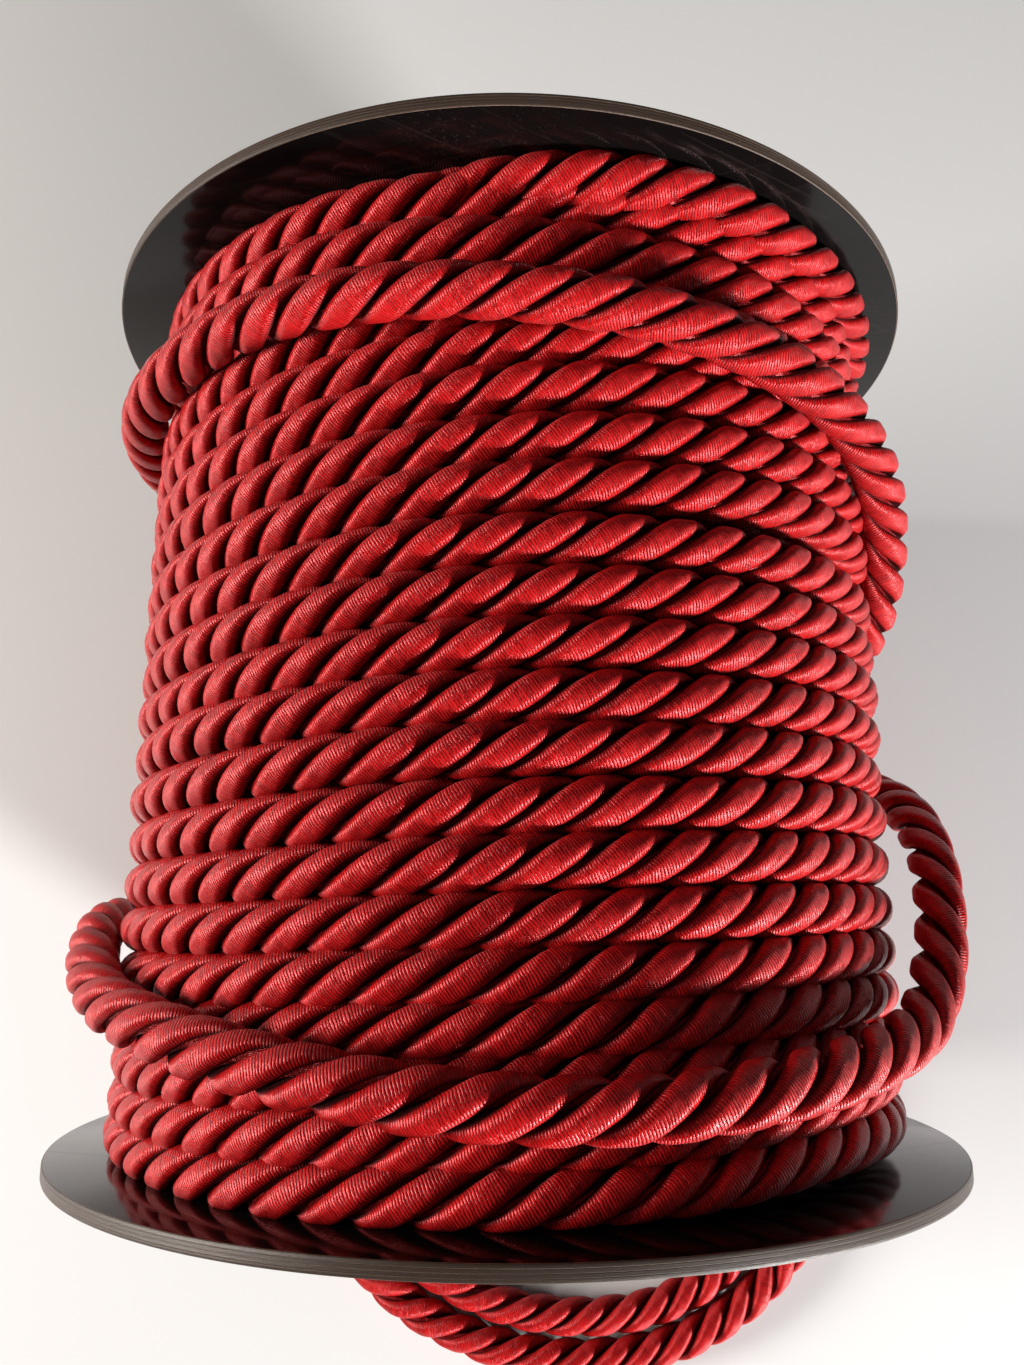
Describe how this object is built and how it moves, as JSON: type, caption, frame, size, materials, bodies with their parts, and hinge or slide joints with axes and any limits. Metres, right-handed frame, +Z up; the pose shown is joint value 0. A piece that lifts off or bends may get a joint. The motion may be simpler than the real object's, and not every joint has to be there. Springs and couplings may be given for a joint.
{
  "type": "twisted cord on a reel",
  "caption": "Three-strand twisted satin cord wound on a reel with thin round flanges, lying on its side, its last turn and free end loose.",
  "frame": {"origin": "on the surface it rests on, under the middle of the reel", "axes": "+Z up, +Y along the reel's axis from the near flange to the far one, +X to the right seen from the near flange"},
  "size_m": [0.1577, 0.2112, 0.1491],
  "materials": {
    "flange_board": "glossy near-black lacquered board, bare brown-grey rim with fine layers",
    "satin_cord": "crimson satin thread wrapped closely round each strand"
  },
  "bodies": {
    "root": {"flange_near": "flange_board", "flange_far": "flange_board", "cord_winding": "satin_cord", "cord_loose": "satin_cord"}
  },
  "joints": []
}
